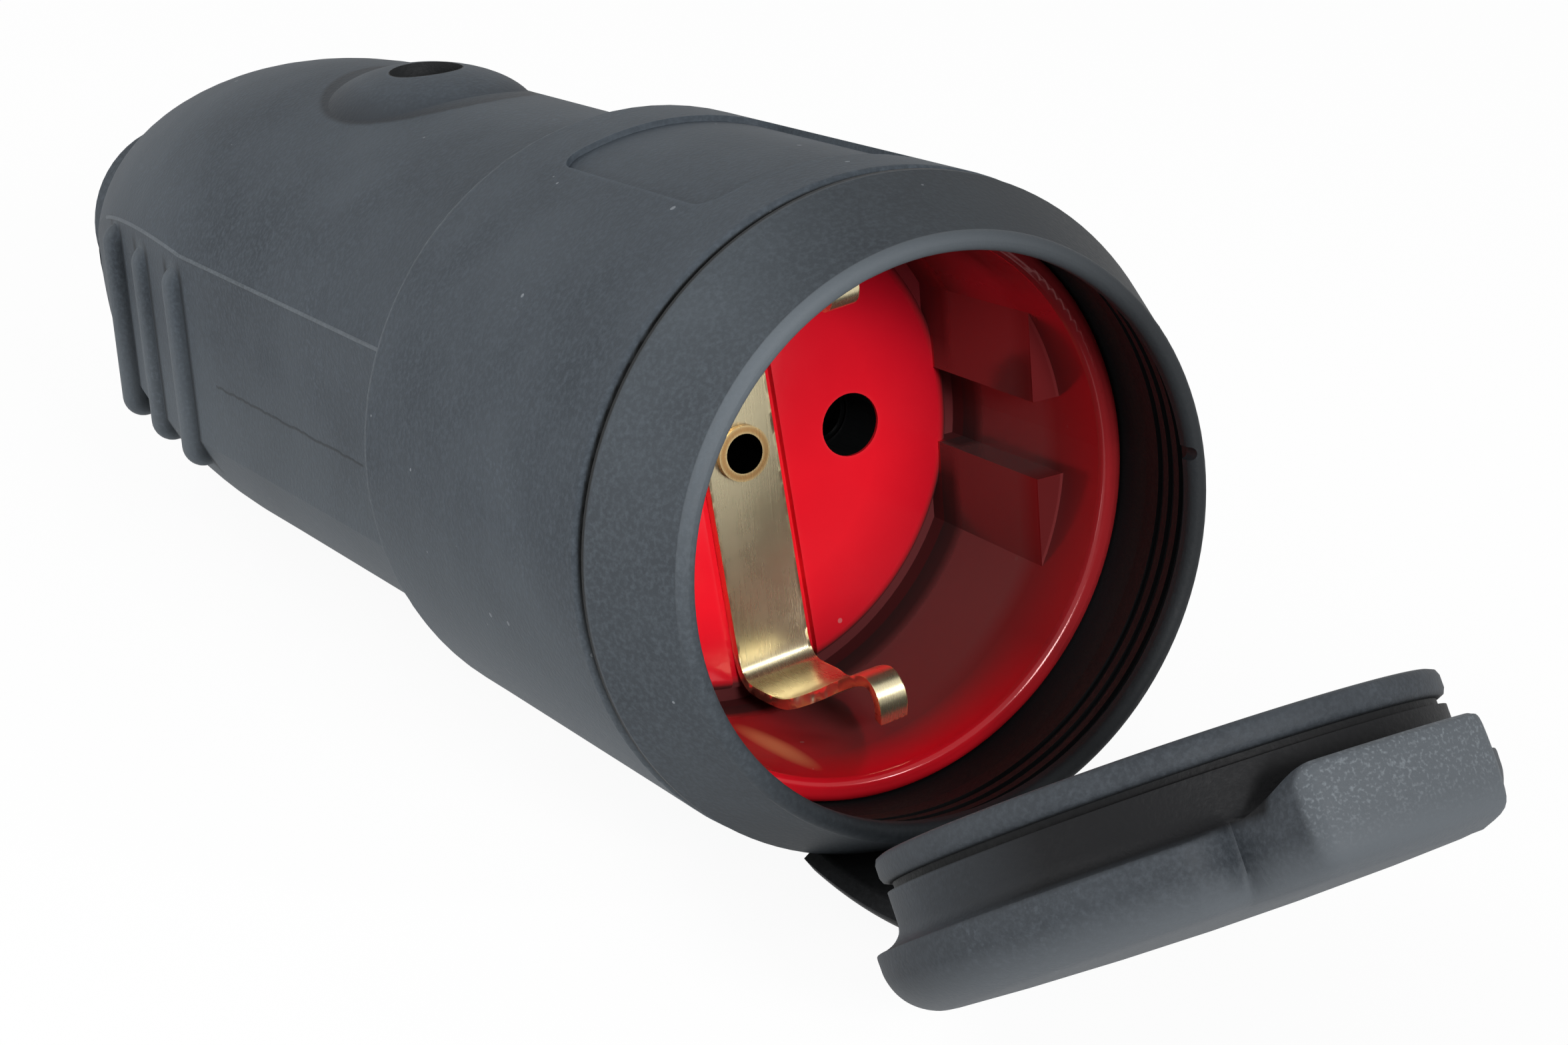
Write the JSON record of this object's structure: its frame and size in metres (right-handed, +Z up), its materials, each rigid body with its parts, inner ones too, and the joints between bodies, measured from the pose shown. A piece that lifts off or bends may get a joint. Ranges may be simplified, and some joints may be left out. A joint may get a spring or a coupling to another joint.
{
  "type": "inline socket connector",
  "caption": "Rubber inline socket connector: round earthed plug recess with side earth clips, tapered grip with cord inlet, and a splash lid on a rubber strap.",
  "frame": {"origin": "on the socket axis, at the front end of the straight recess wall of the plastic insert", "axes": "the connector lies as it rests on a table: +Z up, +Y towards the cord end, +X across; the socket axis is tipped mouth-up from Y by 3.7 degrees about X"},
  "size_m": [0.048, 0.1827, 0.0497],
  "materials": {
    "housing_rubber": "satin, finely pitted",
    "collar_rubber": "satin",
    "lid_rubber": "satin, grainy on the tab",
    "strap_rubber": "satin",
    "red_plastic": "gloss",
    "dark_plastic": "matt",
    "brass": "bright, slightly tarnished",
    "steel": "zinc plated"
  },
  "bodies": {
    "connector": {"rubber_housing": "housing_rubber", "lid_collar": "collar_rubber", "hinge_strap": "strap_rubber", "socket_insert": "red_plastic", "earth_bracket": "brass", "earth_rivet": "brass", "contact_carrier": "dark_plastic", "line_contact_right": "brass", "line_contact_left": "brass", "contact_springs": "steel", "earth_terminal": "brass", "line_terminal_screws": "steel", "earth_terminal_screw": "steel", "carrier_screws": "steel", "fixing_screw": "steel", "fixing_bush": "brass", "cord_saddle": "dark_plastic", "saddle_screws": "steel"},
    "lid": {"hinged_lid": "lid_rubber"}
  },
  "joints": [
    {"name": "lid_hinge", "type": "hinge", "parent": "connector", "child": "lid", "pos_m": [0, -0.01351, -0.02608], "axis": [1, 0, 0], "range_deg": [-60.5, 100], "stiffness_Nm_per_rad": 0.2, "deforming": ["hinge_strap"]}
  ]
}
